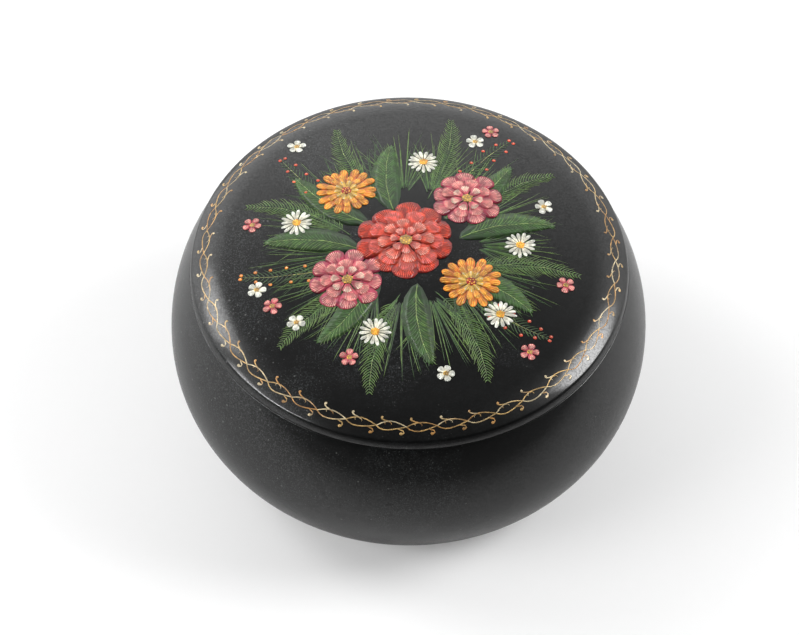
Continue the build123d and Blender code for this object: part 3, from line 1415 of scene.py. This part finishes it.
@dataclass
class BodyShell(Turnery):
    """The box's body: the bulged wall, the plate let into its foot, and the lid's neck."""

    worn_out: float = 4 * MM
    worn_up: float = 0.3 * MM
    wear_reach: float = 1.6 * MM
    body = "box"
    looks_up = 0.5

    def black(self) -> BlackLacquer:
        """Gives the black lacquer, worn at the foot."""
        worn = (self.shape.plate_radius + self.worn_out, self.worn_up)
        return BlackLacquer("black_lacquer_body", worn, self.wear_reach)

    def pieces(self) -> Iterator[tuple[bpy.types.Object, str, str]]:
        """Turns the wall, the plate and the neck.

        Returns:
            Each with its CAD node and its slot.
        """
        yield self.wall(), "body_wall", "black_lacquer"
        yield self.plate(), "base_plate", "black_lacquer"
        yield self.neck(), "neck_ring", "red_lacquer"

    def wall(self) -> bpy.types.Object:
        """Turns the wall: foot, belly, rim, mouth, ledge, inside and the lip over the plate.

        Returns:
            The wall.
        """
        s = self.shape
        lower = (s.belly - s.lower_arc, s.belly_height)
        upper = (s.belly - s.upper_arc, s.belly_height)
        lower_inside, upper_inside = s.lower_arc - s.wall, s.upper_arc - s.wall
        mouth = s.neck_radius + s.glue_line
        neck_bore = s.neck_radius - s.neck_wall
        ledge = s.neck_foot - s.ledge_thickness
        plate_bore = s.plate_radius + s.glue_line
        floor = s.plate_thickness + s.lip_thickness
        lip = (plate_bore - s.lip_width + s.lip_rounding, floor - s.lip_rounding)
        rim_foot = s.rim_height - s.rim_rounding
        foot, foot_angle = level_corner(lower, s.lower_arc, s.foot_rounding, s.foot_rounding)
        rim, rim_angle = level_corner(upper, s.upper_arc, rim_foot, s.rim_rounding)
        cove, cove_angle = level_corner(upper, upper_inside, ledge - s.ledge_cove, s.ledge_cove)
        bed, bed_angle = level_corner(lower, lower_inside, floor + s.floor_cove, s.floor_cove)
        outline = (
            TurnedProfile()
            .to(plate_bore, 0)
            .arc(foot, s.foot_rounding, -QUARTER, foot_angle)
            .arc(lower, s.lower_arc, foot_angle, 0)
            .arc(upper, s.upper_arc, 0, rim_angle)
            .arc(rim, s.rim_rounding, rim_angle, QUARTER)
            .to(mouth, s.rim_height)
            .to(mouth, s.neck_foot)
            .to(neck_bore, s.neck_foot)
            .to(neck_bore, ledge)
            .arc(cove, s.ledge_cove, QUARTER, cove_angle)
            .arc(upper, upper_inside, cove_angle, 0)
            .arc(lower, lower_inside, 0, bed_angle)
            .arc(bed, s.floor_cove, bed_angle, -QUARTER)
            .arc(lip, s.lip_rounding, QUARTER, 2 * QUARTER)
            .to(plate_bore - s.lip_width, s.plate_thickness)
            .to(plate_bore, s.plate_thickness)
            .close()
        )

        def inside(middle: Vector, normal: Vector) -> bool:
            """Says whether a face looks into the box."""
            inwards = normal.xy.dot(middle.xy) < 0 or normal.z > self.looks_up
            return inwards and s.plate_thickness < middle.z < rim_foot

        return outline.turn("lacquered_wall", inside)

    def plate(self) -> bpy.types.Object:
        """Turns the base plate.

        Returns:
            The plate.
        """
        s, outline = self.shape, TurnedProfile()
        corners = ((0, 0), (0.5, 0), (1, 0), (1, 1), (0.5, 1), (0, 1))
        for out, up in corners:
            outline.to(out * s.plate_radius, up * s.plate_thickness)
        return outline.turn("lacquered_base_plate", lambda middle, normal: normal.z > self.looks_up)

    def neck(self) -> bpy.types.Object:
        """Turns the neck ring, with its top edges rounded.

        Returns:
            The neck ring.
        """
        s = self.shape
        bore, top = s.neck_radius - s.neck_wall, s.neck_top - s.neck_rounding
        outline = (
            TurnedProfile()
            .to(bore, s.neck_foot)
            .to(s.neck_radius, s.neck_foot)
            .arc((s.neck_radius - s.neck_rounding, top), s.neck_rounding, 0, QUARTER)
            .arc((bore + s.neck_rounding, top), s.neck_rounding, QUARTER, 2 * QUARTER)
            .close()
        )
        return outline.turn("lacquered_neck", lambda middle, normal: True)


@dataclass
class Lid(Turnery):
    """The lid: the pressed dome plate and the wound ring under its edge."""

    wear_reach: float = 0.9 * MM
    body = "lid"
    looks_down = -0.3
    lined_lead_in = 0.9

    def black(self) -> BlackLacquer:
        """Gives the black lacquer, worn at the lid's lower edge."""
        worn = (self.shape.lid_radius, self.shape.ring_foot)
        return BlackLacquer("black_lacquer_lid", worn, self.wear_reach)

    def pieces(self) -> Iterator[tuple[bpy.types.Object, str, str]]:
        """Gives the dome plate and the ring."""
        yield self.dome(), "lid_dome", "black_lacquer"
        yield self.ring(), "lid_ring", "black_lacquer"

    def side_angle(self, height: float) -> float:
        """Finds where on the side's arc, up from outwards, a height lies."""
        return math.asin((height - self.shape.side_centre.y) / self.shape.side_radius)

    def dome(self) -> bpy.types.Object:
        """Turns the dome plate: crown, shoulder, edge, bellied side and the even underside.

        Returns:
            The dome plate.
        """
        s = self.shape
        shoulder, arc = s.shoulder_centre, s.shoulder_radius
        slopes = (s.crown_end, s.shoulder_end, s.edge_end)
        crown_end, shoulder_end, edge_end = (QUARTER - slope for slope in slopes)
        outline = (
            TurnedProfile()
            .arc(s.crown_centre, s.crown_radius, QUARTER, crown_end)
            .arc(shoulder, arc, crown_end, shoulder_end)
            .arc(s.edge_centre, s.edge_radius, shoulder_end, edge_end)
            .arc(s.side_centre, s.side_radius, edge_end, self.side_angle(s.plate_foot))
            .arc(shoulder, arc - s.dome_wall, shoulder_end, crown_end)
            .arc(s.crown_centre, s.crown_radius - s.dome_wall, crown_end, QUARTER)
        )
        return outline.turn("lacquered_dome", lambda middle, normal: normal.z < self.looks_down)

    def ring(self) -> bpy.types.Object:
        """Turns the ring, its top fitted to the dome's underside and its side to the plate's.

        Returns:
            The ring.
        """
        s = self.shape
        shoulder, arc = s.shoulder_centre, s.shoulder_radius - s.dome_wall - s.glue_line
        bore = s.lid_radius - s.ring_width
        foot = s.side_centre + Vector((s.side_radius - s.ring_edge_rounding, 0))
        lined = bore + s.ring_lead_in * self.lined_lead_in
        outline = (
            TurnedProfile()
            .to(bore + s.ring_lead_in, s.ring_foot)
            .arc(foot, s.ring_edge_rounding, -QUARTER, 0)
            .arc(s.side_centre, s.side_radius, 0, self.side_angle(s.plate_foot))
            .arc(shoulder, arc, QUARTER - s.shoulder_end, math.acos((bore - shoulder.x) / arc))
            .to(bore, s.ring_foot + s.ring_lead_in)
            .close()
        )
        return outline.turn("lacquered_lid_ring", lambda middle, normal: middle.xy.length < lined)


def soft_glow() -> bpy.types.NodeTree:
    """Builds the glow of a diffuser over a lamp: a hot spot that fades out to soft edges.

    Returns:
        A group with Glow, 1 in the hot spot and 0 at the edges.
    """
    dark_from = 1.25
    usual = {"Hot Across": 0.5, "Hot Up": 0.5, "Core": 0.3, "Edge": 0.12}
    sheet, given = new_group("soft_glow", usual)
    place = sheet.outputs("SeparateXYZ", {0: sheet.read("NewGeometry", "Parametric")})
    squares, edges = [], []
    for share, hot in ((place["X"], given["Hot Across"]), (place["Y"], given["Hot Up"])):
        off = (share - hot) / sheet.maths("MAXIMUM", hot, 1.0 - hot)
        squares.append(off * off)
        edges.append(sheet.maths("MINIMUM", share, 1.0 - share).ramp(0.0, given["Edge"]))
    away = sheet.maths("SQRT", squares[0] + squares[1])
    glow = away.ramp(dark_from, given["Core"]) * edges[0] * edges[1]
    return sheet.give({"Glow": glow})


@dataclass(frozen=True)
class SoftBox:
    """A soft lamp that faces the box: its place, its size and its brightness over its face."""

    name: str
    azimuth: float
    elevation: float
    distance: float
    size: Span
    radiance: float
    hot_spot: Plan
    core: float

    def build(self, target: Vector, glow: bpy.types.NodeTree) -> None:
        """Hangs the lamp.

        Args:
            target: What it faces.
            glow: The group that fades it.
        """
        az, el = math.radians(self.azimuth), math.radians(self.elevation)
        out = Vector((math.cos(az) * math.cos(el), math.sin(az) * math.cos(el), math.sin(el)))
        lamp = bpy.data.lights.new(self.name, "AREA")
        lamp.shape = "RECTANGLE"
        lamp.size, lamp.size_y = self.size
        lamp.energy = self.radiance * math.pi * lamp.size * lamp.size_y
        lamp.use_nodes = True
        sheet = NodeSheet(lamp.node_tree)
        spot = {"Hot Across": self.hot_spot[0], "Hot Up": self.hot_spot[1], "Core": self.core}
        fade = sheet.group(glow, spot)["Glow"]
        sheet.add("OutputLight", {0: sheet.read("Emission", 0, {"Strength": fade})})
        holder = bpy.data.objects.new(self.name, lamp)
        turn = out.to_track_quat("Z", "Y").to_matrix().to_4x4()
        holder.matrix_world = Matrix.Translation(target + out * self.distance) @ turn
        bpy.context.scene.collection.objects.link(holder)


@dataclass
class Studio:
    """The camera, the pale table, the room and the soft boxes that show in the lacquer."""

    target: Vector
    image: tuple[int, int] = (799, 635)
    distance: float = 0.7
    elevation: float = math.radians(53.5)
    focal_pixels: float = 2757.4
    sensor: float = 36.0
    roll: float = math.radians(0.96)
    target_pixel: Plan = (408.6, 322.9)

    table_half: float = 1.6
    table_white: float = 0.72
    fibre_scale: float = 400.0
    fibre_tone: float = 0.985
    table_lift: float = 0.21
    table_unseen: float = 0.78
    fade: Span = (0.3, 1.0)
    # Painted shade on the table towards the front, for all rays but the camera's: its direction,
    # reach and tone
    painted_shade_side: float = math.radians(-78)
    painted_shade_reach: Span = (0.065, 0.185)
    painted_shade_tone: float = 0.14

    behind: Span = (-0.2, 0.45)
    behind_glow: Span = (0.03, 1.7)
    leftwards: Span = (0.7, -0.7)
    leftwards_glow: Span = (0.72, 1.28)
    overhead: Span = (0.52, 0.90)
    overhead_glow: float = 0.12

    lamps: tuple[SoftBox, ...] = (
        SoftBox("right_box", 8, 38, 1.0, (0.64, 0.52), 16.0, (0.36, 0.42), 0.2),
        SoftBox("left_box", 156, 39, 1.0, (0.56, 0.52), 9.0, (0.55, 0.5), 0.15),
        SoftBox("front_left_card", 205, 32, 0.6, (0.46, 0.16), 19.0, (0.5, 0.5), 0.3),
    )

    def camera(self) -> None:
        """Sets the camera at the photograph's distance, angle and framing."""
        width, height = self.image
        data = bpy.data.cameras.new("camera")
        data.sensor_width = self.sensor
        data.lens = self.focal_pixels * self.sensor / width
        data.shift_x = (width / 2 - self.target_pixel[0]) / width
        data.shift_y = (self.target_pixel[1] - height / 2) / width
        camera = bpy.data.objects.new("camera", data)
        back = Vector((0, -math.cos(self.elevation), math.sin(self.elevation)))
        place = Matrix.Translation(self.target + back * self.distance)
        tilt = Matrix.Rotation(QUARTER - self.elevation, 4, "X")
        camera.matrix_world = place @ tilt @ Matrix.Rotation(self.roll, 4, "Z")
        bpy.context.scene.collection.objects.link(camera)
        bpy.context.scene.camera = camera

    def table(self) -> None:
        """Lays the pale table: lighter and white far off to the camera, dimmer to the lacquer, with
        painted shade towards the front.
        """
        bm = bmesh.new()
        bmesh.ops.create_grid(bm, x_segments=1, y_segments=1, size=self.table_half)
        table = make_piece("table", bm)
        material, sheet = new_material("pale_table")
        at = sheet.object_coordinates()
        ray = sheet.read("LightPath", "Is Camera Ray")
        shares = (1.0, self.fibre_tone, self.table_unseen, self.painted_shade_tone, 0.0)
        white, fibre, unseen, painted_shaded, none = ((self.table_white * share,) * 3 for share in shares)
        plain = sheet.mix(sheet.noise(at, self.fibre_scale, 4.0), fibre, white)
        # Painted shade: for all but camera rays the table darkens towards the front, standing in
        # for the unlit table there
        front = (math.cos(self.painted_shade_side), math.sin(self.painted_shade_side), 0)
        dim = sheet.vector_maths("DOT_PRODUCT", at, front).ramp(*self.painted_shade_reach)
        off = sheet.vector_maths("LENGTH", at)
        seen = sheet.mix(off.ramp(*self.fade), plain, none)
        tone = sheet.mix(ray, sheet.mix(dim, unseen, painted_shaded), seen)
        lift = ray * off.ramp(*self.fade, (self.table_lift, 1.0))
        face = sheet.read("BsdfDiffuse", 0, {"Color": tone})
        shine = sheet.read("Emission", 0, {"Strength": lift})
        sheet.add("OutputMaterial", {0: sheet.read("AddShader", 0, {0: face, 1: shine})})
        table.data.materials.append(material)

    def room(self) -> None:
        """Fills the room: bright behind, dark in front, dim overhead, and white to the camera."""
        world = bpy.data.worlds.new("studio")
        world.use_nodes = True
        bpy.context.scene.world = world
        sheet = NodeSheet(world.node_tree)
        way = sheet.outputs("SeparateXYZ", {0: sheet.read("TexCoord", "Generated")})
        behind = way["Y"].ramp(*self.behind, self.behind_glow)
        level = behind * way["X"].ramp(*self.leftwards, self.leftwards_glow)
        overhead = way["Z"].ramp(*self.overhead)
        glow = sheet.read("Mix", 0, {0: overhead, 2: level, 3: self.overhead_glow})
        ray = sheet.read("LightPath", "Is Camera Ray")
        seen = sheet.read("Mix", 0, {0: ray, 2: glow, 3: 1.0})
        sky = sheet.read("Background", 0, {"Color": (1, 1, 1, 1), "Strength": seen})
        sheet.add("OutputWorld", {0: sky})

    def build(self) -> None:
        """Sets up the camera, the table, the room and the lamps."""
        bpy.context.scene.view_settings.view_transform = "Standard"
        self.camera()
        self.table()
        self.room()
        glow = soft_glow()
        for lamp in self.lamps:
            lamp.build(self.target, glow)


def main() -> None:
    """Builds the box and its studio."""
    logging.basicConfig(level=logging.INFO, format="%(message)s")
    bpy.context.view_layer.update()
    shape = BoxShape()
    effects = Effects()
    red = RedLacquer("red_lacquer_inside").material(effects)
    pieces = BodyShell(shape).build(effects, red) + Lid(shape).build(effects, red)
    pieces.append(ScrollBorder(shape).build(effects))
    pieces.extend(Bouquet(shape).build(effects))
    for piece in pieces:
        LOG.info("%s: %d faces", piece.name, len(piece.data.polygons))
    Studio(target=Vector((0, 0, shape.belly_height))).build()


if __name__ == "__main__":
    main()
